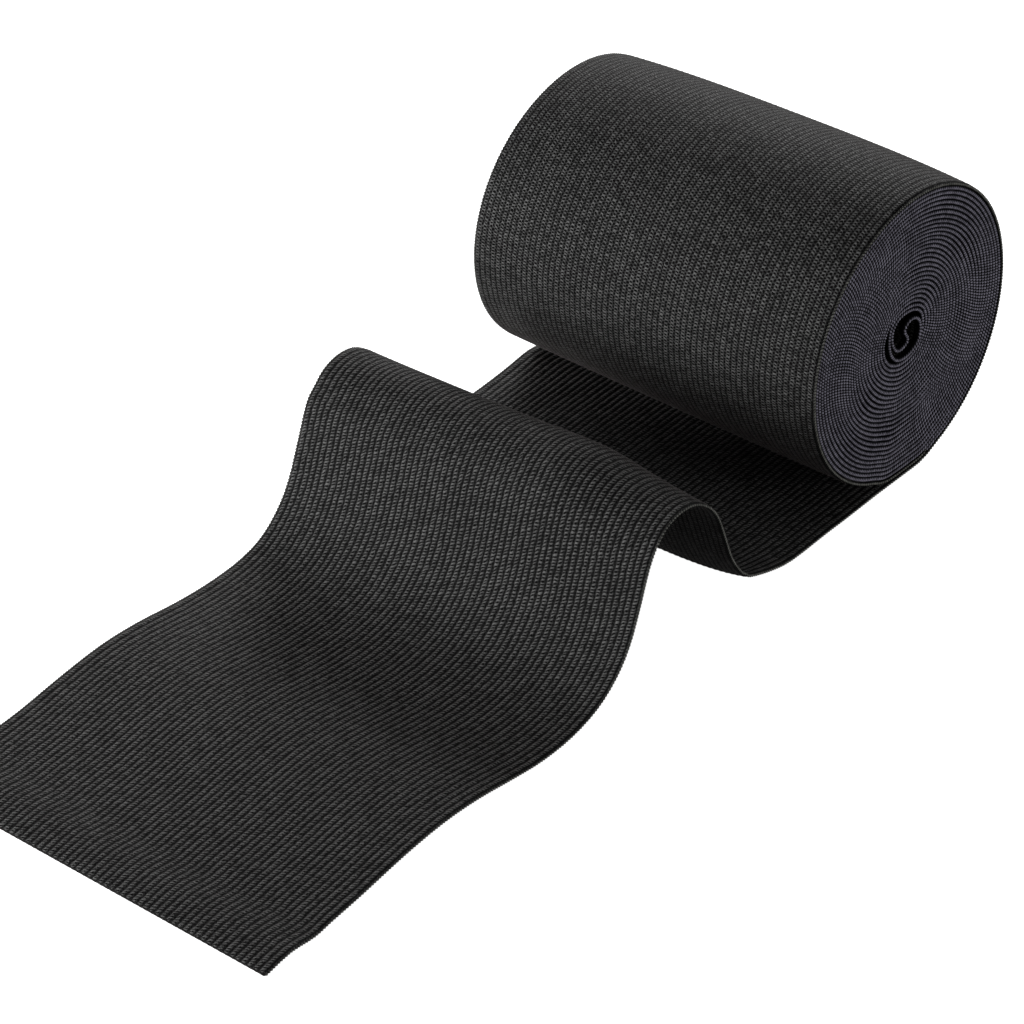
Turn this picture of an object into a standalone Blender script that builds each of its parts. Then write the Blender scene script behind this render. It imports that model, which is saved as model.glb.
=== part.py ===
"""A wide black knitted elastic band wound into a roll, its loose end drawn out over the table in one tall wave.

The band is one length of ribbed knit. Two closed bodies stand for it: the wound roll, with its outermost turn, and the
loose end, a thin sheet that leaves the roll's foot, lies flat, rises in a wave and runs out to its straight cut.

Model frame while building: X runs along the roll's axis, the loose end runs towards -Y, Z is up and the table is z = 0.
y = 0 is below the roll's centre. At the end everything is moved so that the origin is the middle of the footprint.
"""

import math

import bmesh
import bpy
from mathutils import Vector

MM = 0.001

# Driving sizes of the band
BAND_WIDTH = 100 * MM
BAND_THICKNESS = 1.05 * MM
RIB_COUNT = 61
RIB_RELIEF = 0.2 * MM
BODY_GAP = 0.3 * MM

# Driving sizes of the wound roll
ROLL_CENTRE_HEIGHT = 37.07 * MM
TURN_PITCH = 1.05 * MM
SEAT_HALF_WIDTH = 6 * MM
FIRST_WALL_ANGLE = 15
WALL_SEGMENTS = 24

# The loose end's underside is plain, with one strip for this many ribs' half widths
UNDERSIDE_STRIDE = 14

CHARCOAL = (0.022, 0.022, 0.023, 1)

# The roll is not quite round, and its near end stands a little taller than its far end. Each row gives an end's mean
# radius and what is added to it: at the foot (and taken off at the crown), towards +Y, an upright and a slanting oval,
# and a foot's and a slanting three-cornered form. Between its ends the roll swells by up to ROLL_SWELL at its crown.
ROLL_ENDS = {
    "far": {"mean": 37.03, "foot": 0.17, "back": -0.07, "upright": -0.28, "slant": 0.03, "corners": 0.18, "turned": 0.16},
    "near": {"mean": 37.70, "foot": -1.33, "back": -0.16, "upright": 0.61, "slant": 0.26, "corners": 0.01, "turned": 0.06},
}
ROLL_SWELL = 1.35 * MM

# The innermost turn folds back on itself in an S, which parts the hollow core into two lobes. Each outline is a closed
# smooth curve through a few points, in millimetres (y, z), seen from the near end.
CORE_LOBES = {
    "upper": (
        (-6.7, 43.6), (-4.9, 45.1), (-2.0, 45.2), (1.2, 44.0), (-1.4, 43.0), (-2.8, 41.3), (-2.3, 39.4),
        (-1.6, 38.1), (-3.3, 37.3), (-5.2, 38.2), (-6.5, 40.6),
    ),
    "lower": (
        (2.9, 41.3), (0.6, 42.1), (-0.9, 41.2), (-0.4, 39.6), (0.1, 38.0), (-0.8, 36.5), (-3.2, 35.9),
        (-4.4, 34.9), (-1.8, 33.4), (1.2, 33.2), (3.4, 35.2), (3.9, 38.2),
    ),
}
LOBE_STEPS = 3

# The loose end from the roll's foot to the cut, a row for each place where its run bends. y is the distance in front of
# the roll's centre, near and far are how high the band's two sides stand above lying flat, near_curl and far_curl how
# much higher the very edge stands, drift is how far the band has strayed sideways, and crown is the share of the
# wave's raised middle that this row takes. Millimetres.
LOOSE_END = (
    {"y": -10.0, "near": 0.0, "far": 0.0, "drift": 0.1, "crown": 0, "near_curl": 0.0, "far_curl": 0.4},
    {"y": -17.0, "near": 0.0, "far": 0.0, "drift": 0.3, "crown": 0, "near_curl": 0.0, "far_curl": 1.4},
    {"y": -24.0, "near": 0.0, "far": 0.0, "drift": 0.5, "crown": 0, "near_curl": 0.0, "far_curl": 0.8},
    {"y": -31.0, "near": 0.0, "far": 0.0, "drift": 0.6, "crown": 0, "near_curl": 0.0, "far_curl": 0.2},
    {"y": -44.0, "near": 0.0, "far": 0.0, "drift": 1.1, "crown": 0, "near_curl": 0.2, "far_curl": 0.0},
    {"y": -52.0, "near": 0.0, "far": 0.0, "drift": 1.2, "crown": 0, "near_curl": 1.7, "far_curl": 0.0},
    {"y": -59.5, "near": 0.5, "far": 0.5, "drift": 1.2, "crown": 0, "near_curl": 3.7, "far_curl": 0.0},
    {"y": -61.3, "near": 2.2, "far": 2.2, "drift": 1.1, "crown": 0, "near_curl": 3.4, "far_curl": 0.0},
    {"y": -63.2, "near": 5.2, "far": 5.2, "drift": 1.1, "crown": 0.1, "near_curl": 2.1, "far_curl": 0.0},
    {"y": -66.9, "near": 13.0, "far": 13.0, "drift": 1.2, "crown": 0.3, "near_curl": 0.0, "far_curl": 0.0},
    {"y": -69.8, "near": 20.6, "far": 20.6, "drift": 1.3, "crown": 0.6, "near_curl": 0.0, "far_curl": 0.0},
    {"y": -72.8, "near": 27.8, "far": 27.8, "drift": 1.4, "crown": 0.85, "near_curl": 0.0, "far_curl": 0.0},
    {"y": -76.6, "near": 32.4, "far": 32.4, "drift": 1.5, "crown": 1, "near_curl": 0.0, "far_curl": 0.0},
    {"y": -81.4, "near": 35.4, "far": 35.4, "drift": 1.6, "crown": 1, "near_curl": 0.0, "far_curl": 0.0},
    {"y": -86.6, "near": 36.1, "far": 36.1, "drift": 1.7, "crown": 1, "near_curl": 0.0, "far_curl": 0.0},
    {"y": -91.4, "near": 34.9, "far": 34.9, "drift": 1.9, "crown": 1, "near_curl": 0.0, "far_curl": 0.0},
    {"y": -95.0, "near": 32.3, "far": 32.3, "drift": 2.2, "crown": 0.95, "near_curl": 0.0, "far_curl": 0.0},
    {"y": -98.2, "near": 28.0, "far": 29.3, "drift": 2.5, "crown": 0.8, "near_curl": 0.0, "far_curl": 0.0},
    {"y": -102.0, "near": 19.8, "far": 21.2, "drift": 3.0, "crown": 0.5, "near_curl": 0.0, "far_curl": 0.0},
    {"y": -106.2, "near": 11.9, "far": 12.4, "drift": 3.5, "crown": 0.2, "near_curl": 0.0, "far_curl": 0.0},
    {"y": -111.2, "near": 6.4, "far": 6.2, "drift": 3.9, "crown": 0.05, "near_curl": 0.0, "far_curl": 0.0},
    {"y": -118.0, "near": 2.4, "far": 1.8, "drift": 4.3, "crown": 0, "near_curl": 0.0, "far_curl": 0.0},
    {"y": -127.0, "near": 0.4, "far": 0.1, "drift": 4.7, "crown": 0, "near_curl": 0.0, "far_curl": 0.0},
    {"y": -137.0, "near": 0.2, "far": 0.1, "drift": 5.0, "crown": 0, "near_curl": 0.0, "far_curl": 0.0},
    {"y": -147.0, "near": 1.4, "far": 0.9, "drift": 5.2, "crown": 0, "near_curl": 0.0, "far_curl": 0.0},
    {"y": -159.0, "near": 3.2, "far": 2.5, "drift": 5.4, "crown": 0, "near_curl": 0.0, "far_curl": 0.0},
    {"y": -171.0, "near": 4.0, "far": 3.2, "drift": 5.7, "crown": 0, "near_curl": 0.0, "far_curl": 0.0},
    {"y": -184.0, "near": 3.3, "far": 2.3, "drift": 6.0, "crown": 0, "near_curl": 0.0, "far_curl": 0.0},
    {"y": -197.0, "near": 1.6, "far": 0.7, "drift": 6.2, "crown": 0, "near_curl": 0.0, "far_curl": 0.0},
    {"y": -207.0, "near": 0.5, "far": 0.1, "drift": 6.3, "crown": 0, "near_curl": 0.0, "far_curl": 0.0},
    {"y": -212.5, "near": 0.0, "far": 0.0, "drift": 6.5, "crown": 0, "near_curl": 0.0, "far_curl": 0.0},
    {"y": -220.0, "near": 0.8, "far": 0.8, "drift": 6.7, "crown": 0, "near_curl": 0.0, "far_curl": 0.0},
    {"y": -228.3, "near": 0.0, "far": 0.0, "drift": 7.1, "crown": 0, "near_curl": 0.0, "far_curl": 0.0},
)

# How far the wave's crest stands above its two edges, by the place across the band from its far to its near edge
WAVE_CROWN = (
    {"across": 0.0, "rise": -0.5},
    {"across": 0.25, "rise": 0.4},
    {"across": 0.5, "rise": 1.7},
    {"across": 0.72, "rise": 3.0},
    {"across": 0.87, "rise": 1.1},
    {"across": 1.0, "rise": 0.0},
)

COLUMNS = 2 * RIB_COUNT


def clear_scene():
    for obj in list(bpy.data.objects):
        bpy.data.objects.remove(obj, do_unlink=True)


def knit_material(name):
    material = bpy.data.materials.new(name)
    material.use_nodes = True
    shader = material.node_tree.nodes["Principled BSDF"]
    shader.inputs["Base Color"].default_value = CHARCOAL
    shader.inputs["Roughness"].default_value = 0.85
    shader.inputs["Metallic"].default_value = 0
    return material


def mix(a, b, t):
    return a + (b - a) * t


def catmull_rom(p0, p1, p2, p3, t):
    """The smooth curve from p1 (t = 0) to p2 (t = 1) that passes on through p0 and p3."""
    return 0.5 * (
        2 * p1 + (p2 - p0) * t + (2 * p0 - 5 * p1 + 4 * p2 - p3) * t * t + (3 * p1 - p0 - 3 * p2 + p3) * t**3
    )


def relief(column):
    """Height of the skin over its mean: the even columns run in the grooves, the odd ones on the ribs."""
    return RIB_RELIEF / 2 if column % 2 else -RIB_RELIEF / 2


def crown_rise(across):
    """Height of the wave's crest over its edges at this place across the band, in metres."""
    rows = WAVE_CROWN
    for index in range(len(rows) - 1):
        if across <= rows[index + 1]["across"]:
            break
    before, first = rows[max(index - 1, 0)], rows[index]
    second, after = rows[index + 1], rows[min(index + 2, len(rows) - 1)]
    t = (across - first["across"]) / (second["across"] - first["across"])
    return catmull_rom(before["rise"], first["rise"], second["rise"], after["rise"], t) * MM


def roll_radius(angle, across):
    """Radius of the wound roll at an angle from its foot, turning towards +Y and up, one band less after a full turn."""
    end = {key: mix(ROLL_ENDS["far"][key], ROLL_ENDS["near"][key], across) for key in ROLL_ENDS["far"]}
    radius = end["mean"] + end["foot"] * math.cos(angle) + end["back"] * math.sin(angle)
    radius += end["upright"] * math.cos(2 * angle) + end["slant"] * math.sin(2 * angle)
    radius += end["corners"] * math.cos(3 * angle) + end["turned"] * math.sin(3 * angle)
    swell = ROLL_SWELL * (1 - abs(2 * across - 1) ** 3) * (1 - math.cos(angle)) / 2
    return radius * MM + swell - TURN_PITCH * angle / math.tau


def roll_section(column):
    """One closed section of the roll: the flat seat, round the wall, and down to the foot where the loose end leaves."""
    across = column / COLUMNS
    x = (across - 0.5) * BAND_WIDTH
    points = [Vector((x, -SEAT_HALF_WIDTH, 0)), Vector((x, SEAT_HALF_WIDTH, 0))]
    last_angle = 360 - math.degrees(math.asin(SEAT_HALF_WIDTH / roll_radius(math.tau, across)))
    for step in range(WALL_SEGMENTS + 1):
        angle = math.radians(mix(FIRST_WALL_ANGLE, last_angle, step / WALL_SEGMENTS))
        radius = roll_radius(angle, across) + relief(column)
        points.append(Vector((x, radius * math.sin(angle), ROLL_CENTRE_HEIGHT - radius * math.cos(angle))))
    points[-1].y = -SEAT_HALF_WIDTH
    return points


def mesh_object(name, bm, material):
    bmesh.ops.recalc_face_normals(bm, faces=bm.faces)
    mesh = bpy.data.meshes.new(name)
    bm.to_mesh(mesh)
    bm.free()
    mesh.shade_smooth()
    mesh.set_sharp_from_angle(angle=math.radians(50))
    mesh.materials.append(material)
    obj = bpy.data.objects.new(name, mesh)
    bpy.context.scene.collection.objects.link(obj)
    return obj


def closed_curve(points, steps):
    """Points of a closed smooth curve through the given (y, z) points, with this many steps between each two."""
    count = len(points)
    curve = []
    for index in range(count):
        p0, p1, p2, p3 = (Vector(points[(index + shift) % count]) for shift in (-1, 0, 1, 2))
        curve += [catmull_rom(p0, p1, p2, p3, step / steps) * MM for step in range(steps)]
    return curve


def core_cutter(name, outline):
    """A prism of one lobe of the core, longer than the roll at both ends."""
    bm = bmesh.new()
    start = -BAND_WIDTH
    verts = [bm.verts.new((start, y, z)) for y, z in closed_curve(outline, LOBE_STEPS)]
    face = bm.faces.new(verts)
    swept = bmesh.ops.extrude_face_region(bm, geom=[face])
    moved = [item for item in swept["geom"] if isinstance(item, bmesh.types.BMVert)]
    bmesh.ops.translate(bm, verts=moved, vec=(-2 * start, 0, 0))
    cutter = mesh_object(name, bm, bpy.data.materials["band_knit"])
    cutter.hide_render = True
    cutter.display_type = "WIRE"
    return cutter


def wound_roll(material):
    """The roll: its ribbed wall swept from the far to the near end, flat ends, and the core's two lobes cut through."""
    bm = bmesh.new()
    sections = [[bm.verts.new(point) for point in roll_section(column)] for column in range(COLUMNS + 1)]
    count = len(sections[0])
    for left, right in zip(sections, sections[1:]):
        for index in range(count):
            following = (index + 1) % count
            bm.faces.new((left[index], left[following], right[following], right[index]))
    bm.faces.new(sections[0])
    bm.faces.new(sections[-1])
    roll = mesh_object("wound_roll", bm, material)
    for lobe, outline in CORE_LOBES.items():
        cut = roll.modifiers.new("core_" + lobe, "BOOLEAN")
        cut.operation = "DIFFERENCE"
        cut.solver = "EXACT"
        cut.object = core_cutter("core_lobe_" + lobe, outline)
    return roll


def loose_end_rows():
    """The rows of the loose end, from a first one clear of the roll's foot."""
    first = dict(LOOSE_END[0], y=-(SEAT_HALF_WIDTH + BODY_GAP) / MM, drift=0.0, far_curl=0.0)
    return (first,) + LOOSE_END


def middle_point(row, across):
    """A point of the band's middle surface, half a thickness above the table where it lies flat."""
    x = (across - 0.5) * BAND_WIDTH + row["drift"] * MM
    rise = mix(row["far"], row["near"], across) + row["near_curl"] * across**8 + row["far_curl"] * (1 - across) ** 8
    return Vector((x, row["y"] * MM, BAND_THICKNESS / 2 + rise * MM + row["crown"] * crown_rise(across)))


def upward_normals(line):
    """The band's own up direction along one line of middle points, square to its run."""
    normals = []
    for index in range(len(line)):
        run = line[max(index - 1, 0)] - line[min(index + 1, len(line) - 1)]
        normals.append(Vector((0, -run.z, run.y)).normalized())
    return normals


def loose_end(material):
    """The loose end: a ribbed upper face and a plain underside one thickness below it, closed round all four edges."""
    rows = loose_end_rows()
    bm = bmesh.new()
    top, bottom = [], []
    for column in range(COLUMNS + 1):
        line = [middle_point(row, column / COLUMNS) for row in rows]
        normals = upward_normals(line)
        lift = BAND_THICKNESS / 2 + relief(column)
        top.append([bm.verts.new(point + normal * lift) for point, normal in zip(line, normals)])
        if column % UNDERSIDE_STRIDE == 0 or column == COLUMNS:
            drop = BAND_THICKNESS / 2
            bottom.append([bm.verts.new(point - normal * drop) for point, normal in zip(line, normals)])
    for side in (top, bottom):
        for left, right in zip(side, side[1:]):
            for index in range(len(rows) - 1):
                bm.faces.new((left[index], left[index + 1], right[index + 1], right[index]))
    for column in (0, -1):
        for index in range(len(rows) - 1):
            bm.faces.new((top[column][index], top[column][index + 1], bottom[column][index + 1], bottom[column][index]))
    for index in (0, -1):
        bm.faces.new([line[index] for line in top] + [line[index] for line in reversed(bottom)])
    return mesh_object("loose_end", bm, material)


def move_origin_to_footprint(objects):
    """Moves the meshes so that the origin is the middle of the whole part's footprint, on the table."""
    corners = [vertex.co for obj in objects if not obj.hide_render for vertex in obj.data.vertices]
    low = Vector([min(corner[axis] for corner in corners) for axis in range(3)])
    high = Vector([max(corner[axis] for corner in corners) for axis in range(3)])
    shift = Vector((-(low.x + high.x) / 2, -(low.y + high.y) / 2, -low.z))
    for obj in objects:
        for vertex in obj.data.vertices:
            vertex.co += shift


clear_scene()
knit = knit_material("band_knit")
wound_roll(knit)
loose_end(knit)
move_origin_to_footprint(list(bpy.data.objects))
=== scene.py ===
import bisect
import math

import bmesh
import bpy
from mathutils import Matrix, Vector


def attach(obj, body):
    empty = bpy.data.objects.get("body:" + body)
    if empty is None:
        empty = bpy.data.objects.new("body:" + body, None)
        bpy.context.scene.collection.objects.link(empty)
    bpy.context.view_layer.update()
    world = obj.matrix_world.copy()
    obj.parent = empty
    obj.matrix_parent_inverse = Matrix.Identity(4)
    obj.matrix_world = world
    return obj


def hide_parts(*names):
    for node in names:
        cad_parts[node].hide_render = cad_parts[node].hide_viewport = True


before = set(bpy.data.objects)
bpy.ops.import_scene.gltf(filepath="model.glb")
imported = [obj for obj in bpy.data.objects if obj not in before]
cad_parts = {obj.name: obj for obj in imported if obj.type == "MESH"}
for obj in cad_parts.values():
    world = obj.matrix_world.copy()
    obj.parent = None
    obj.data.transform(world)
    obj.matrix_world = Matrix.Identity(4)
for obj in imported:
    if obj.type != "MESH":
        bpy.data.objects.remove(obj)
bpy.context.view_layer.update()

# The camera: the photograph's own viewpoint, a long lens forty degrees round and thirty-five up, tipped a third of a
# degree. The roll's foot, under the middle of its axis, is what every place below is measured from.
MM = 0.001
ROLL_FOOT = Vector((-3.55, 95.545, 0.0)) * MM
LOOKED_AT = ROLL_FOOT + Vector((-18.8, -60.0, -8.6)) * MM
CAMERA_DISTANCE = 1.177
FOCAL_PIXELS, PHOTO_PIXELS = 5043, 1024
azimuth, elevation, tip = math.radians(40.2), math.radians(34.9), math.radians(-0.37)
back = Vector((math.sin(azimuth) * math.cos(elevation), -math.cos(azimuth) * math.cos(elevation), math.sin(elevation)))
level = Vector((math.cos(azimuth), math.sin(azimuth), 0))
upright = back.cross(level)
right = math.cos(tip) * level + math.sin(tip) * upright
up = -math.sin(tip) * level + math.cos(tip) * upright
lens = bpy.data.cameras.new("camera")
lens.sensor_width = 36
lens.lens = lens.sensor_width * FOCAL_PIXELS / PHOTO_PIXELS
lens.clip_start, lens.clip_end = 0.05, 20
camera = bpy.data.objects.new("camera", lens)
turned = Matrix((right, up, back)).transposed().to_4x4()
camera.matrix_world = Matrix.Translation(LOOKED_AT + back * CAMERA_DISTANCE) @ turned
bpy.context.scene.collection.objects.link(camera)
bpy.context.scene.camera = camera

# The drawn-off band: one length of wide black ribbed elastic, knitted of covered rubber and texturised polyester.
# It starts under the roll's foot, goes once round the roll as its outermost turn, then leaves it over the table,
# stands up in one tall wave and runs out to the straight cut. Its two long edges are looped selvedges.
WIDTH = 100 * MM
THICKNESS = 1.05 * MM
RIBS = 61
RIB_STEPS = 4
RIB_RELIEF = 0.24 * MM
UNDERSIDE_RELIEF = 0.4
STITCH = 0.81 * MM
SELVEDGE_DEPTH = 0.55 * MM
SELVEDGE_STEPS = 6
CENTRE_HEIGHT = 37.07 * MM
SEAT_HALF = 3.5 * MM
SEAT_BLEND = 3.7 * SEAT_HALF
NEAR_FOOT = 0.9
TURN_STEPS = 72
OUTER_STEPS = 75
SQUEEZED_STATIONS = OUTER_STEPS - 6
UPPER_FACE, UNDERSIDE, EDGE = 0, 1, 2

# The roll's outline at its two ends, in millimetres: mean radius, then what is added at the foot, at the back, as an
# upright and a slanting oval, and as an upright and a turned three-cornered form
ROLL_OUTLINE = {
    "far": (37.03, 0.17, -0.07, -0.28, 0.03, 0.18, 0.16),
    "near": (37.70, -1.33, -0.16, 0.61, 0.26, 0.01, 0.06),
}
ROLL_SWELL = 1.35 * MM

# The last turn that is wound tight, its middle (y, z) and half its two sizes, so many turns in from the foot
INNER_RING = {"middle": (-1.75, 40.0), "half_wide": 7.9, "half_high": 7.2}
TIGHT_TURNS = 27.31
# How much of its own room a squeezed turn fills, and how the turns halfway in wander: by how many millimetres, in how
# many waves round, with what shift from turn to turn and what start
SQUEEZE = 0.96
UNEVENNESS = ((0.22, 3, 9, 0), (0.16, 5, -14, 1))

# The loose end, a row for each place where its run bends: y in front of the roll's centre, how high the near and far
# sides stand, sideways drift, the share of the crest's crown, and the curl of the very edges. Millimetres.
LOOSE_END = (
    # y, near, far, drift, crown, near curl, far curl
    (-10, 0, 0, 0.1, 0, 0, 0.4),
    (-17, 0, 0, 0.3, 0, 0, 1.4),
    (-24, 0, 0, 0.5, 0, 0, 0.8),
    (-31, 0, 0, 0.6, 0, 0, 0.2),
    (-44, 0, 0, 1.1, 0, 0.2, 0),
    (-52, 0, 0, 1.2, 0, 1.7, 0),
    (-59.5, 0.5, 0.5, 1.2, 0, 3.7, 0),
    (-61.3, 2.2, 2.2, 1.1, 0, 3.4, 0),
    (-63.2, 5.2, 5.2, 1.1, 0.1, 2.1, 0),
    (-66.9, 13, 13, 1.2, 0.3, 0, 0),
    (-69.8, 20.6, 20.6, 1.3, 0.6, 0, 0),
    (-72.8, 27.8, 27.8, 1.4, 0.85, 0, 0),
    (-76.6, 32.4, 32.4, 1.5, 1, 0, 0),
    (-81.4, 35.4, 35.4, 1.6, 1, 0, 0),
    (-86.6, 36.1, 36.1, 1.7, 1, 0, 0),
    (-91.4, 34.9, 34.9, 1.9, 1, 0, 0),
    (-95, 32.3, 32.3, 2.2, 0.95, 0, 0),
    (-98.2, 28, 29.3, 2.5, 0.8, 0, 0),
    (-102, 19.8, 21.2, 3.0, 0.5, 0, 0),
    (-106.2, 11.9, 12.4, 3.5, 0.2, 0, 0),
    (-111.2, 6.4, 6.2, 3.9, 0.05, 0, 0),
    (-118, 2.4, 1.8, 4.3, 0, 0, 0),
    (-127, 0.4, 0.1, 4.7, 0, 0, 0),
    (-137, 0.2, 0.1, 5.0, 0, 0, 0),
    (-147, 1.4, 0.9, 5.2, 0, 0, 0),
    (-159, 3.2, 2.5, 5.4, 0, 0, 0),
    (-171, 4.0, 3.2, 5.7, 0, 0, 0),
    (-184, 3.3, 2.3, 6.0, 0, 0, 0),
    (-197, 1.6, 0.7, 6.2, 0, 0, 0),
    (-207, 0.5, 0.1, 6.3, 0, 0, 0),
    (-212.5, 0, 0, 6.5, 0, 0, 0),
    (-220, 0.8, 0.8, 6.7, 0, 0, 0),
    (-228.3, 0, 0, 7.1, 0, 0, 0),
)
LOOSE_STEPS = 3
CURL_POWER = 8
# How far the wave's crest stands above its edges, in millimetres, at places from the far edge (0) to the near one (1)
WAVE_CROWN = ((0.0, -0.5), (0.25, 0.4), (0.5, 1.7), (0.72, 3.0), (0.87, 1.1), (1.0, 0.0))

# An edge loop cut across where it stands out, and where it is tucked in between two: at each corner how far out in
# millimetres and how high as a share of the thickness
STANDING_LOOP = ((-0.1, 0.42), (0.12, 0), (-0.1, -0.42), (-0.5, 0))
TUCKED_LOOP = ((-0.3, 0.3), (-0.14, 0), (-0.3, -0.3), (-0.5, 0))
# How far a loop leans along the edge, and how much of a bead's width it shows
LOOP_LEAN = 0.6 * STITCH
LOOP_SHOWN = 0.9


def mix(a, b, t):
    return a + (b - a) * t


def smooth_between(p0, p1, p2, p3, t):
    """The smooth curve from p1 to p2 that comes from p0 and goes on to p3."""
    return 0.5 * (
        2 * p1 + (p2 - p0) * t + (2 * p0 - 5 * p1 + 4 * p2 - p3) * t * t + (3 * p1 - p0 - 3 * p2 + p3) * t**3
    )


def smooth_step(low, high, value):
    t = min(max((value - low) / (high - low), 0), 1)
    return t * t * (3 - 2 * t)


def crown_rise(across):
    """How far the wave's crest stands above its edges at this place across the band."""
    index = max(i for i in range(len(WAVE_CROWN) - 1) if across >= WAVE_CROWN[i][0] or i == 0)
    rises = [WAVE_CROWN[min(max(index + shift, 0), len(WAVE_CROWN) - 1)][1] for shift in (-1, 0, 1, 2)]
    start, end = WAVE_CROWN[index][0], WAVE_CROWN[index + 1][0]
    return smooth_between(*rises, (across - start) / (end - start)) * MM


def outer_ring(angle, across):
    """A point (y, z) of the outermost turn's middle line, at an angle from the foot towards the back and up."""
    shape = [mix(far, near, across) for far, near in zip(ROLL_OUTLINE["far"], ROLL_OUTLINE["near"])]
    waves = (1, math.cos(angle), math.sin(angle), math.cos(2 * angle), math.sin(2 * angle), math.cos(3 * angle))
    radius = sum(size * wave for size, wave in zip(shape, waves)) + shape[6] * math.sin(3 * angle)
    radius = radius * MM + ROLL_SWELL * (1 - abs(2 * across - 1) ** 3) * (1 - math.cos(angle)) / 2 - THICKNESS / 2
    y, z = radius * math.sin(angle), CENTRE_HEIGHT - radius * math.cos(angle)
    if math.cos(angle) > NEAR_FOOT:
        z = mix(THICKNESS / 2, z, smooth_step(SEAT_HALF, SEAT_BLEND, abs(y)))
    return Vector((y, z))


def ring_at(angle, depth, across):
    """A point (y, z) of the winding. depth goes from 0 at the outermost turn to 1 at the last tight one."""
    ring = INNER_RING
    middle = Vector(ring["middle"]) * MM
    inner = middle + Vector((ring["half_wide"] * math.sin(angle), -ring["half_high"] * math.cos(angle))) * MM
    point = outer_ring(angle, across).lerp(inner, depth)
    unevenness = sum(
        size * math.sin(waves * angle + shift * depth + start) for size, waves, shift, start in UNEVENNESS
    )
    outwards = (point - Vector((0, CENTRE_HEIGHT)).lerp(middle, depth)).normalized()
    return point + outwards * unevenness * 4 * depth * (1 - depth) * MM


def wound(turns, across):
    """A point (y, z) of the wound band's middle line, this many turns in from under the foot."""
    return ring_at(math.tau * turns, turns / TIGHT_TURNS, across)


def wound_thickness(turns, across):
    """The band is squeezed where the turns lie closer than it is thick."""
    return min(THICKNESS, SQUEEZE * (wound(turns, across) - wound(turns + 1, across)).length)


def loose_point(position, across):
    """A point (y, z) and the drift of the loose end's middle line. position counts the rows of its table."""
    index = min(int(position), len(LOOSE_END) - 2)
    rows = [LOOSE_END[min(max(index + shift, 0), len(LOOSE_END) - 1)] for shift in (-1, 0, 1, 2)]
    y, near, far, drift, crown, near_curl, far_curl = (
        smooth_between(*values, position - index) for values in zip(*rows)
    )
    rise = mix(far, near, across) + near_curl * across**CURL_POWER + far_curl * (1 - across) ** CURL_POWER
    return Vector((y * MM, THICKNESS / 2 + max(rise, 0) * MM + crown * crown_rise(across))), drift * MM


def run_of_band(across):
    """The drawn-off band's middle line at one place across it, from the inside of the outermost turn to the cut."""
    line = []
    for step in range(OUTER_STEPS, -1, -1):
        line.append(Vector((0, *wound(step / TURN_STEPS, across))))
    for row in range(LOOSE_STEPS * (len(LOOSE_END) - 1) + 1):
        (y, z), drift = loose_point(row / LOOSE_STEPS, across)
        line.append(Vector((drift, y, z)))
    return line


def square_to(line):
    """The direction square to a line in the (y, z) plane at each of its points, up where the line runs forwards."""
    directions = []
    for index in range(len(line)):
        run = line[min(index + 1, len(line) - 1)] - line[max(index - 1, 0)]
        directions.append(Vector((0, run.z, -run.y)).normalized())
    return directions


def lengths_along(line):
    lengths = [0.0]
    for a, b in zip(line, line[1:]):
        lengths.append(lengths[-1] + (b - a).length)
    return lengths


def band_thicknesses(across, stations):
    """How thick the drawn-off band is at each station: squeezed in the roll, at its full thickness outside it."""
    turns = [(OUTER_STEPS - station) / TURN_STEPS for station in range(SQUEEZED_STATIONS)]
    return [wound_thickness(turn, across) for turn in turns] + [THICKNESS] * (stations - SQUEEZED_STATIONS)


def band_profile():
    """The band's closed cross-section, from its far edge over the upper face and back along the underside. Each entry
    is its part, the place across, the height over the middle line as a share of the thickness and in relief, and the
    rib number or the share of the way round the edge."""
    steps = RIB_STEPS * RIBS
    grooves = [(1 + math.cos(math.tau * step / RIB_STEPS)) / 2 for step in range(steps + 1)]
    profile = []
    for step in range(steps + 1):
        profile.append(("face", step / steps, 0.5, -grooves[step], step / RIB_STEPS))
    for step in range(1, SELVEDGE_STEPS):
        turn = math.pi * step / SELVEDGE_STEPS
        profile.append(("near edge", 1, math.cos(turn) / 2, -math.cos(turn), step / SELVEDGE_STEPS))
    for step in range(steps, -1, -1):
        profile.append(("underside", step / steps, -0.5, UNDERSIDE_RELIEF * grooves[step], RIBS - step / RIB_STEPS))
    for step in range(1, SELVEDGE_STEPS):
        turn = math.pi * step / SELVEDGE_STEPS
        profile.append(("far edge", 0, -math.cos(turn) / 2, math.cos(turn), step / SELVEDGE_STEPS))
    return profile


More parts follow.
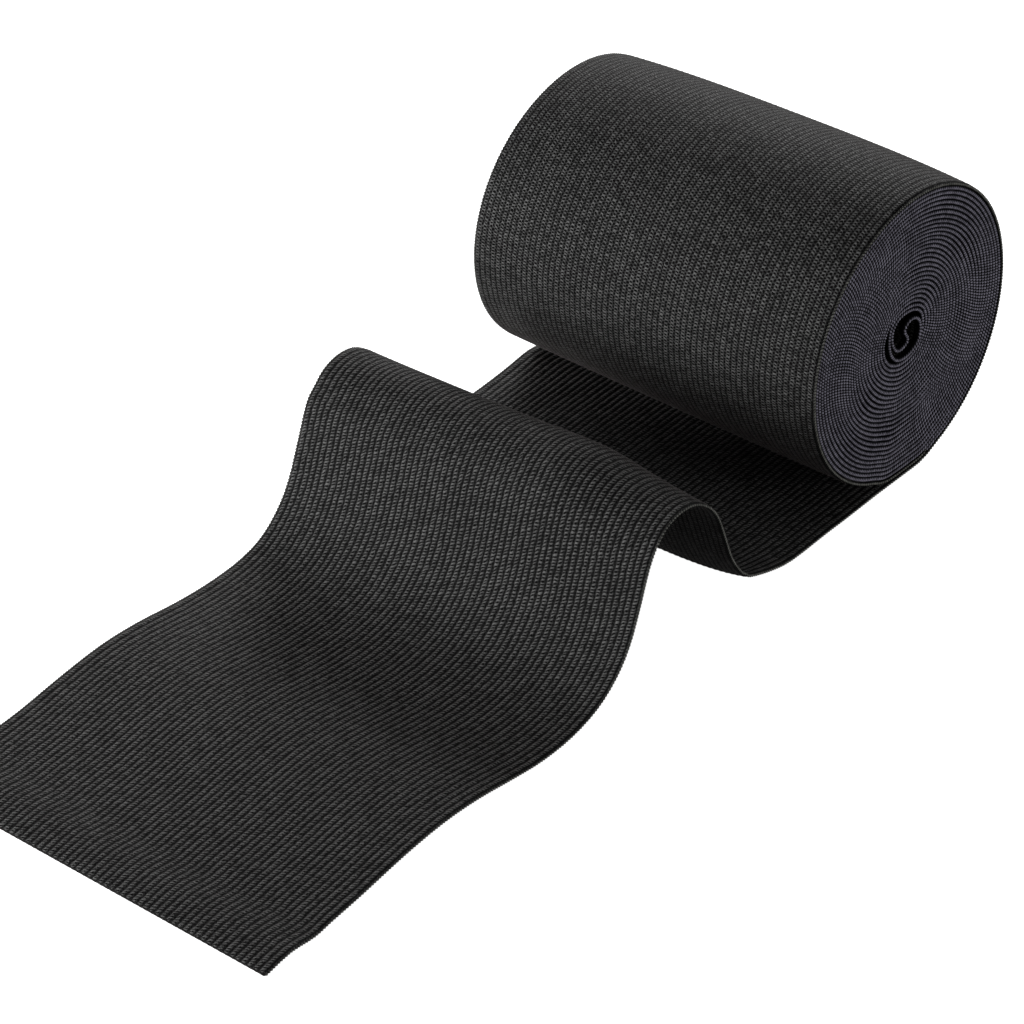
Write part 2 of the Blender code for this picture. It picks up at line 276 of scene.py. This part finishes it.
def add_edge_loops(bm, uv, across):
    """Adds a row of slanting loops along one edge of the band, one to each stitch, each standing out a little."""
    line = run_of_band(across)
    length = lengths_along(line)
    tracks = (line, square_to(line), band_thicknesses(across, len(line)))
    outwards = 1 if across else -1
    rows = int(2 * length[-1] / STITCH) - 2
    made = bmesh.ops.create_grid(bm, x_segments=4, y_segments=rows, size=0.5)["verts"]
    places = {}
    for vert in made:
        column, row = round((vert.co.x + 0.5) * 4), round((vert.co.y + 0.5) * rows)
        out, share = (STANDING_LOOP if row % 2 else TUCKED_LOOP)[column % 4]
        mark = 0.5 - LOOP_SHOWN * share * outwards
        run = (row + 2) / 2 * STITCH + LOOP_LEAN * (0.5 - mark)
        index = min(max(bisect.bisect(length, run) - 1, 0), len(length) - 2)
        part = (run - length[index]) / (length[index + 1] - length[index])
        middle, square, thick = (mix(track[index], track[index + 1], part) for track in tracks)
        x = outwards * (WIDTH / 2 + out * MM)
        vert.co = ROLL_FOOT + Vector((x, 0, 0)) + middle + square * share * thick
        places[vert] = (mark, run / STITCH)
    for face in {face for vert in made for face in vert.link_faces}:
        face.material_index = EDGE
        face.smooth = True
        for loop in face.loops:
            loop[uv].uv = places[loop.vert]


def close_up(bm):
    """Merges the seams, fills the open ends and turns every face outwards."""
    bmesh.ops.remove_doubles(bm, verts=bm.verts, dist=1e-6)
    bmesh.ops.holes_fill(bm, edges=[edge for edge in bm.edges if edge.is_boundary], sides=0)
    bmesh.ops.recalc_face_normals(bm, faces=bm.faces)


def new_piece(bm, name, *materials):
    mesh = bpy.data.meshes.new(name)
    bm.to_mesh(mesh)
    bm.free()
    for material in materials:
        mesh.materials.append(material)
    obj = bpy.data.objects.new(name, mesh)
    bpy.context.scene.collection.objects.link(obj)
    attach(obj, "root")
    return obj


def drawn_band():
    """The whole band from inside the outermost turn to the cut, and its length along the middle."""
    profile = band_profile()
    lines = {across: run_of_band(across) for across in sorted({entry[1] for entry in profile})}
    directions = {across: square_to(line) for across, line in lines.items()}
    thick = {across: band_thicknesses(across, len(line)) for across, line in lines.items()}
    length = lengths_along(lines[0.5])
    bm = bmesh.new()
    bmesh.ops.create_grid(bm, x_segments=len(profile), y_segments=len(length) - 1, size=0.5)
    uv = bm.loops.layers.uv.new("run")
    places = {}
    for vert in bm.verts:
        column = round((vert.co.x + 0.5) * len(profile))
        station = round((vert.co.y + 0.5) * (len(length) - 1))
        places[vert] = (column, station)
        part, across, share, relief, mark = profile[column % len(profile)]
        x = (across - 0.5) * (WIDTH - 2 * SELVEDGE_DEPTH)
        if "edge" in part:
            x += (across - 0.5) * SELVEDGE_DEPTH * math.sin(math.pi * mark)
        height = share * thick[across][station] + relief * RIB_RELIEF
        vert.co = ROLL_FOOT + Vector((x, 0, 0)) + lines[across][station] + directions[across][station] * height
    for face in bm.faces:
        at = min(places[vert][0] for vert in face.verts)
        part, following = profile[at % len(profile)][0], profile[(at + 1) % len(profile)][0]
        if part != following or "edge" in part:
            face.material_index = EDGE
        else:
            face.material_index = UNDERSIDE if part == "underside" else UPPER_FACE
        face.smooth = True
        for loop in face.loops:
            column, station = places[loop.vert]
            part, _, _, _, mark = profile[column % len(profile)]
            if face.material_index == EDGE and "edge" not in part:
                mark = 0 if column == at else 1
            along = length[station] / STITCH
            loop[uv].uv = (mark, -along if face.material_index == UNDERSIDE else along)
    add_edge_loops(bm, uv, 1)
    add_edge_loops(bm, uv, 0)
    close_up(bm)
    return new_piece(bm, "drawn_band", face_knit, back_knit, outer_selvedge), length[-1]


def maths(tree, operation, *values, clamp=False):
    """A Math node with its inputs set, or linked where a value is another node's output."""
    node = tree.nodes.new("ShaderNodeMath")
    node.operation = operation
    node.use_clamp = clamp
    for socket, value in zip(node.inputs, values):
        if isinstance(value, (int, float)):
            socket.default_value = value
        else:
            tree.links.new(value, socket)
    return node.outputs[0]


def spot(tree, across, wide, along, long):
    """A soft oval spot: one where both distances are nothing, none past its two half sizes."""
    terms = [
        maths(tree, "POWER", maths(tree, "DIVIDE", maths(tree, "ABSOLUTE", way), size), 2)
        for way, size in ((across, wide), (along, long))
    ]
    return maths(tree, "SUBTRACT", 1, maths(tree, "ADD", *terms), clamp=True)


def new_group(name, inputs, outputs):
    group = bpy.data.node_groups.new(name, "ShaderNodeTree")
    for socket, value in inputs:
        group.interface.new_socket(socket, in_out="INPUT", socket_type="NodeSocketFloat").default_value = value
    for socket in outputs:
        group.interface.new_socket(socket, in_out="OUTPUT", socket_type="NodeSocketFloat")
    return group, group.nodes.new("NodeGroupInput").outputs, group.nodes.new("NodeGroupOutput").inputs


def loop_rows_group():
    """Rows of arched knit loops, one to each rib and stitch. Each loop is a bar across its rib with two legs, a hole
    between them and one beside it in the groove, as strong as is asked. Sizes are shares of a rib and of a stitch.
    Height is for relief and colour: as colour it makes the loop bars painted highlights and the holes and grooves
    painted shade. Chance differs by loop."""
    inputs = (
        ("Ribs", 0), ("Stitches", 0), ("Base", 0.5), ("Bar", 0.5), ("Slant", 0.3), ("Arch", -1.6), ("Legs", 0.1),
        ("Groove", -0.1), ("Groove Hole", -1), ("Arch Hole", -1),
    )
    group, into, out = new_group("loop_rows", inputs, ("Height", "Chance"))
    aside = maths(group, "SUBTRACT", maths(group, "FRACT", into["Ribs"]), 0.5)
    lean = maths(group, "MULTIPLY_ADD", aside, into["Slant"], into["Stitches"])
    bent = maths(group, "MULTIPLY_ADD", maths(group, "MULTIPLY", aside, aside), into["Arch"], lean)
    ahead = maths(group, "SUBTRACT", maths(group, "FRACT", bent), 0.5)
    between = maths(group, "SUBTRACT", maths(group, "FRACT", maths(group, "ADD", bent, 0.5)), 0.5)
    to_groove = maths(group, "SUBTRACT", 0.5, maths(group, "ABSOLUTE", aside))
    level = maths(group, "SUBTRACT", maths(group, "FRACT", maths(group, "ADD", into["Stitches"], 0.9)), 0.5)
    bar = spot(group, aside, 0.37, ahead, 0.34)
    legs = spot(group, maths(group, "SUBTRACT", to_groove, 0.24), 0.15, between, 0.42)
    groove = maths(group, "SUBTRACT", 1, maths(group, "DIVIDE", to_groove, 0.2), clamp=True)
    groove_hole = spot(group, to_groove, 0.24, level, 0.35)
    arch_hole = spot(group, aside, 0.25, between, 0.31)
    height = maths(group, "MULTIPLY_ADD", bar, into["Bar"], into["Base"])
    height = maths(group, "MULTIPLY_ADD", legs, into["Legs"], height)
    height = maths(group, "MULTIPLY_ADD", groove, into["Groove"], height)
    height = maths(group, "MULTIPLY_ADD", groove_hole, into["Groove Hole"], height)
    height = maths(group, "MULTIPLY_ADD", arch_hole, into["Arch Hole"], height, clamp=True)
    group.links.new(height, out["Height"])
    cell = group.nodes.new("ShaderNodeCombineXYZ")
    group.links.new(maths(group, "FLOOR", into["Ribs"]), cell.inputs[0])
    group.links.new(maths(group, "FLOOR", bent), cell.inputs[1])
    chance = group.nodes.new("ShaderNodeTexWhiteNoise")
    group.links.new(cell.outputs[0], chance.inputs["Vector"])
    group.links.new(chance.outputs["Value"], out["Chance"])
    return group


def run_coordinates(tree):
    """The band's own coordinates: ribs or the way round the edge, and stitches along."""
    uv = tree.nodes.new("ShaderNodeUVMap")
    uv.uv_map = "run"
    split = tree.nodes.new("ShaderNodeSeparateXYZ")
    tree.links.new(uv.outputs["UV"], split.inputs[0])
    return split.outputs[0], split.outputs[1]


def patchiness(tree, scale, low, high, detail=2):
    """Soft patches over the object, as a factor between low and high."""
    place = tree.nodes.new("ShaderNodeTexCoord")
    noise = tree.nodes.new("ShaderNodeTexNoise")
    noise.inputs["Scale"].default_value = scale
    noise.inputs["Detail"].default_value = detail
    tree.links.new(place.outputs["Object"], noise.inputs["Vector"])
    spread = tree.nodes.new("ShaderNodeMapRange")
    spread.inputs["From Min"].default_value, spread.inputs["From Max"].default_value = 0.3, 0.7
    spread.inputs["To Min"].default_value, spread.inputs["To Max"].default_value = low, high
    tree.links.new(noise.outputs["Fac"], spread.inputs["Value"])
    return spread.outputs["Result"]


def shade(tree, factor, stops):
    """A colour that follows factor through the stops, each a place and a colour."""
    node = tree.nodes.new("ShaderNodeValToRGB")
    elements = node.color_ramp.elements
    while len(elements) < len(stops):
        elements.new(0.5)
    for element, (place, colour) in zip(elements, stops):
        element.position = place
        element.color = (*colour, 1)
    tree.links.new(factor, node.inputs["Fac"])
    return node.outputs["Color"]


def relief(tree, height, distance, strength):
    bump = tree.nodes.new("ShaderNodeBump")
    bump.inputs["Strength"].default_value = strength
    bump.inputs["Distance"].default_value = distance
    tree.links.new(height, bump.inputs["Height"])
    return bump.outputs["Normal"]


def knit_material(name, loop_shape):
    """The ribbed knit: dull black yarn, its loops lighter as painted highlights and its holes and grooves darker as
    painted shade.
    """
    material = bpy.data.materials.new(name)
    material.use_nodes = True
    tree = material.node_tree
    shader = tree.nodes["Principled BSDF"]
    across, along = run_coordinates(tree)
    loops = tree.nodes.new("ShaderNodeGroup")
    loops.node_tree = loop_rows
    tree.links.new(maths(tree, "ADD", across, patchiness(tree, 800, -0.1, 0.1)), loops.inputs["Ribs"])
    tree.links.new(maths(tree, "ADD", along, patchiness(tree, 650, -0.25, 0.25)), loops.inputs["Stitches"])
    for socket, value in loop_shape.items():
        loops.inputs[socket].default_value = value
    # The colour follows the loops' height, so the loop bars are painted highlights and the holes and grooves painted
    # shade; it is also lighter or darker by loop, then over soft patches, then finely along its fibres
    glow = maths(tree, "MULTIPLY_ADD", loops.outputs["Chance"], 0.45, 0.78)
    glow = maths(tree, "MULTIPLY", loops.outputs["Height"], glow)
    glow = maths(tree, "MULTIPLY", glow, patchiness(tree, 60, 0.97, 1.03))
    glow = maths(tree, "MULTIPLY", glow, patchiness(tree, 2600, 0.8, 1.2, detail=1))
    # Stops: near black for the painted shade in holes and grooves, the black yarn, and light grey for the painted
    # highlights on the loop bars
    yarn_and_painted_light = ((0.0, (0.001, 0.001, 0.001)), (0.4, (0.014, 0.014, 0.014)), (1.0, (0.108, 0.108, 0.107)))
    tree.links.new(shade(tree, glow, yarn_and_painted_light), shader.inputs["Base Color"])
    tree.links.new(relief(tree, loops.outputs["Height"], 0.16 * MM, 0.7), shader.inputs["Normal"])
    tree.links.new(maths(tree, "MULTIPLY_ADD", loops.outputs["Height"], -0.3, 0.8), shader.inputs["Roughness"])
    shader.inputs["Specular IOR Level"].default_value = 0.06
    shader.inputs["Sheen Weight"].default_value = 0.08
    shader.inputs["Sheen Roughness"].default_value = 0.3
    shader.inputs["Sheen Tint"].default_value = (1.0, 0.86, 0.84, 1)
    return material


def bead_row_group():
    """One row of slanting beads down the middle of an edge. Across goes from 0 to 1 through the thickness."""
    group, into, out = new_group("bead_row", (("Across", 0), ("Stitches", 0), ("Slant", 0.5)), ("Height", "Chance"))
    aside = maths(group, "SUBTRACT", into["Across"], 0.5)
    along = maths(group, "MULTIPLY_ADD", aside, into["Slant"], into["Stitches"])
    ahead = maths(group, "SUBTRACT", maths(group, "FRACT", along), 0.5)
    group.links.new(spot(group, aside, 0.44, ahead, 0.52), out["Height"])
    chance = group.nodes.new("ShaderNodeTexWhiteNoise")
    chance.noise_dimensions = "1D"
    group.links.new(maths(group, "FLOOR", along), chance.inputs["W"])
    group.links.new(chance.outputs["Value"], out["Chance"])
    return group


def selvedge_material(name, bead_rows, dark, middling, light):
    """The looped edge: one row of light slanting beads, with the edge between them darkened as painted shade."""
    material = bpy.data.materials.new(name)
    material.use_nodes = True
    tree = material.node_tree
    shader = tree.nodes["Principled BSDF"]
    across, along = run_coordinates(tree)
    beads = tree.nodes.new("ShaderNodeGroup")
    beads.node_tree = bead_rows
    tree.links.new(across, beads.inputs["Across"])
    tree.links.new(along, beads.inputs["Stitches"])
    beads.inputs["Slant"].default_value = 0.7
    glow = maths(tree, "MULTIPLY_ADD", beads.outputs["Chance"], 0.35, 0.81)
    glow = maths(tree, "MULTIPLY", beads.outputs["Height"], glow)
    glow = maths(tree, "MULTIPLY", glow, patchiness(tree, 90, 0.93, 1.07))
    # The dark stop is painted shade in the gaps between the beads; the light stop is the beads' own tone
    colour = shade(tree, glow, ((0.0, dark), (0.4, middling), (1.0, light)))
    tree.links.new(colour, shader.inputs["Base Color"])
    tree.links.new(relief(tree, beads.outputs["Height"], 0.2 * MM, 0.8), shader.inputs["Normal"])
    shader.inputs["Roughness"].default_value = 0.58
    shader.inputs["Specular IOR Level"].default_value = 0.16
    return material


loop_rows = loop_rows_group()
# These heights also set the knit's colour: the bars become painted highlights, the grooves and holes painted shade
# The upper face: plain slanting loops with shallow grooves between the ribs
face_shape = {
    "Base": 0.38, "Bar": 0.8, "Slant": 1.1, "Arch": -0.2, "Legs": 0.1, "Groove": -0.14, "Groove Hole": -0.3,
    "Arch Hole": -0.5,
}
# The back, which the roll's wall shows: arched loops with an open hole in each and one beside it
back_shape = {
    "Base": 0.46, "Bar": 0.5, "Slant": 0.1, "Arch": -1.6, "Legs": 0.1, "Groove": 0, "Groove Hole": -1.2,
    "Arch Hole": -1.2,
}
face_knit = knit_material("knit_face", face_shape)
back_knit = knit_material("knit_back", back_shape)
bead_rows = bead_row_group()
outer_selvedge = selvedge_material(
    "outer_selvedge", bead_rows, (0.003, 0.003, 0.003), (0.018, 0.018, 0.017), (0.21, 0.21, 0.192)
)
band, band_length = drawn_band()
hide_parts("loose_end")

# The wound turns: the same band, wound on itself some thirty times. Only its looped edges show, at the roll's two
# ends, so each end is a narrow strip of the band, coiled from inside the outermost turn to the very middle. There the
# last two turns stand loose, and the inner end is bent back on itself in an S.
STRIP_DEPTH = 1.7 * MM
STRIP_COLUMNS = SELVEDGE_STEPS + 3
STRIP_BEAD = 0.2 * MM
FIRST_RADIUS, LAST_RADIUS = 37 * MM, 8.6 * MM

# Where the middle line of the loose inner turns goes, (y, z) in millimetres, from the last tight turn inwards
INNER_END = (
    (4.6, 44.3), (2.6, 45.8), (-0.2, 46.7), (-3.2, 46.8), (-5.8, 46.0), (-7.4, 44.2), (-7.95, 41.6), (-7.7, 38.9),
    (-6.7, 36.3), (-4.8, 34.3), (-2.2, 33.5), (0.6, 33.8), (3.1, 35.3), (4.6, 37.6), (5.0, 40.2), (4.4, 42.6),
    (2.9, 44.3), (0.2, 45.5), (-3.0, 45.7), (-5.1, 45.0), (-6.4, 43.6), (-6.9, 41.8), (-6.6, 39.6), (-5.7, 37.8),
    (-4.5, 36.7), (-3.0, 36.5), (-1.6, 36.9), (-0.8, 37.7), (-0.9, 38.8), (-1.6, 39.8), (-2.0, 40.9), (-1.5, 42.0),
    (-0.3, 42.7), (1.2, 42.8), (2.6, 42.2), (3.6, 41.1), (4.1, 39.6), (4.1, 37.6), (3.7, 36.4),
)


def loose_inner_line(step):
    """Points along the loose inner turns, about step apart, smooth through the table."""
    points = [wound(TIGHT_TURNS - 0.1, 0.5), wound(TIGHT_TURNS, 0.5)] + [Vector(place) * MM for place in INNER_END]
    line = []
    for index in range(1, len(points) - 1):
        around = [points[min(index + shift, len(points) - 1)] for shift in (-1, 0, 1, 2)]
        parts = max(1, round((around[2] - around[1]).length / step))
        for part in range(parts):
            line.append(smooth_between(*around, part / parts))
    return line + [points[-1]]


def winding(across, first_turn, step):
    """The winding's middle line and its thickness at each point, from first_turn inwards to the very end."""
    line, thick = [], []
    turns = first_turn
    while turns < TIGHT_TURNS:
        line.append(wound(turns, across))
        thick.append(wound_thickness(turns, across))
        turns += step / (math.tau * mix(FIRST_RADIUS, LAST_RADIUS, turns / TIGHT_TURNS))
    for point in loose_inner_line(step):
        line.append(point)
        thick.append(SQUEEZE * THICKNESS)
    return [Vector((0, *point)) for point in line], thick


def wound_strip(name, across):
    """A strip of the band's edge wound from the second turn inwards: near end at across 1, far end at across 0."""
    outwards = 1 if across else -1
    line, thick = winding(across, OUTER_STEPS / TURN_STEPS, STITCH / 2)
    directions = square_to(line)
    bm = bmesh.new()
    bmesh.ops.create_grid(bm, x_segments=STRIP_COLUMNS, y_segments=len(line) - 1, size=0.5)
    uv = bm.loops.layers.uv.new("run")
    places = {}
    for vert in bm.verts:
        column = round((vert.co.x + 0.5) * STRIP_COLUMNS) % STRIP_COLUMNS
        station = round((vert.co.y + 0.5) * (len(line) - 1))
        mark = min(max(column - 1, 0), SELVEDGE_STEPS) / SELVEDGE_STEPS
        places[vert] = (mark, (station + 1) / 2)
        turn = math.pi * mark
        depth = STRIP_DEPTH
        if 0 < column < STRIP_COLUMNS - 1:
            depth = SELVEDGE_DEPTH * (1 - math.sin(turn)) + station % 2 * STRIP_BEAD * math.sin(turn)
        place = ROLL_FOOT + Vector((outwards * (WIDTH / 2 - depth), 0, 0)) + line[station]
        vert.co = place - directions[station] * math.cos(turn) / 2 * thick[station]
    for face in bm.faces:
        face.smooth = True
        for loop in face.loops:
            loop[uv].uv = places[loop.vert]
    close_up(bm)
    return new_piece(bm, name, wound_selvedge)


wound_selvedge = selvedge_material(
    "wound_selvedge", bead_rows, (0.001, 0.001, 0.002), (0.013, 0.0125, 0.017), (0.28, 0.267, 0.333)
)
near_turns = wound_strip("near_turns", 1)
wound_strip("far_turns", 0)
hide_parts("wound_roll")

# Behind the looped edges: the tight turns as one body, hidden by the edges and the outermost turn, and the last turns
# at their full width, whose faces line the hollow right through the roll.
BACKING_WIDTH = WIDTH - 1.6 * STRIP_DEPTH
BACKING_STEPS = 96
BACKING_RADIUS = 36 * MM
HIDDEN_TURNS = 1.6
LAYER_TURNS = 1.2
LAYER_STEP = 1.2 * MM
LAYER_HALF_THICK = 0.42 * THICKNESS


def backing_body():
    """A thick ring under the outermost turn and around the hollow, a little short of the roll's two ends."""
    bm = bmesh.new()
    bmesh.ops.create_grid(bm, x_segments=4, y_segments=BACKING_STEPS, size=0.5)
    uv = bm.loops.layers.uv.new("run")
    places = {}
    for vert in bm.verts:
        corner = round((vert.co.x + 0.5) * 4) % 4
        angle = math.tau * round((vert.co.y + 0.5) * BACKING_STEPS) / BACKING_STEPS
        across = 1 if corner in (1, 2) else 0
        depth = (HIDDEN_TURNS if corner in (0, 1) else TIGHT_TURNS - HIDDEN_TURNS) / TIGHT_TURNS
        x = (across - 0.5) * BACKING_WIDTH
        vert.co = ROLL_FOOT + Vector((x, *ring_at(angle, depth, across)))
        places[vert] = (across * RIBS, angle * BACKING_RADIUS / STITCH)
    for face in bm.faces:
        for loop in face.loops:
            loop[uv].uv = places[loop.vert]
    close_up(bm)
    return new_piece(bm, "wound_body", back_knit)


def inner_layers():
    """The last tight turn and the loose inner turns across the whole width, up to just inside the looped edges."""
    line, _ = winding(0.5, TIGHT_TURNS - LAYER_TURNS, LAYER_STEP)
    directions = square_to(line)
    length = lengths_along(line)
    corners = [(-1, -1), (-1, 1), (1, 1), (1, -1)]
    bm = bmesh.new()
    bmesh.ops.create_grid(bm, x_segments=4, y_segments=len(line) - 1, size=0.5)
    uv = bm.loops.layers.uv.new("run")
    places = {}
    for vert in bm.verts:
        column, station = round((vert.co.x + 0.5) * 4), round((vert.co.y + 0.5) * (len(line) - 1))
        side, face_up = corners[column % 4]
        places[vert] = ((side + 1) / 2 * RIBS, length[station] / STITCH)
        x = side * BACKING_WIDTH / 2
        vert.co = ROLL_FOOT + Vector((x, 0, 0)) + line[station] + directions[station] * LAYER_HALF_THICK * face_up
    for face in bm.faces:
        for loop in face.loops:
            loop[uv].uv = places[loop.vert]
    close_up(bm)
    return new_piece(bm, "inner_layers", back_knit)


backing_body()
inner_layers()

# The floor is a plain white table top that throws no light of its own on the band. The light is soft: lamps in front,
# low and high on the left, behind, and beside the roll's end, and a little from all round.
FLOOR_HALF = 3
floor_bm = bmesh.new()
bmesh.ops.create_grid(floor_bm, x_segments=1, y_segments=1, size=FLOOR_HALF)
floor_mesh = bpy.data.meshes.new("floor")
floor_bm.to_mesh(floor_mesh)
floor_bm.free()
floor = bpy.data.objects.new("floor", floor_mesh)
bpy.context.scene.collection.objects.link(floor)
floor.visible_diffuse = floor.visible_glossy = False
white = bpy.data.materials.new("white_table")
white.use_nodes = True
finish = white.node_tree.nodes["Principled BSDF"].inputs
finish["Base Color"].default_value = (0.8, 0.8, 0.8, 1)
finish["Roughness"].default_value = 0.9
finish["Specular IOR Level"].default_value = 0.2
finish["Emission Color"].default_value = (1, 1, 1, 1)
finish["Emission Strength"].default_value = 1.0
floor_mesh.materials.append(white)


def soft_light(name, round_degrees, up_degrees, distance, size, power):
    """A square area light that faces the middle of the object, from so far round and up."""
    lamp = bpy.data.lights.new(name, "AREA")
    lamp.size = size
    lamp.energy = power
    obj = bpy.data.objects.new(name, lamp)
    turn, rise = math.radians(round_degrees), math.radians(up_degrees)
    place = Vector((math.sin(turn) * math.cos(rise), -math.cos(turn) * math.cos(rise), math.sin(rise))) * distance
    obj.location = place
    obj.rotation_euler = (-place).to_track_quat("-Z", "Y").to_euler()
    bpy.context.scene.collection.objects.link(obj)


soft_light("front_light", -21, 8, 1.2, 0.3, 7.2)
soft_light("left_light", -50, 12, 0.5, 0.2, 2.5)
soft_light("high_light", -95, 50, 0.45, 0.2, 0.4)
soft_light("back_light", -150, 22, 1.2, 0.4, 8.2)
soft_light("end_light", 106, 5, 0.7, 0.3, 2.1)
world = bpy.data.worlds.new("studio")
world.use_nodes = True
world.node_tree.nodes["Background"].inputs["Color"].default_value = (1, 1, 1, 1)
world.node_tree.nodes["Background"].inputs["Strength"].default_value = 0.13
bpy.context.scene.world = world
bpy.context.scene.view_settings.view_transform = "Standard"
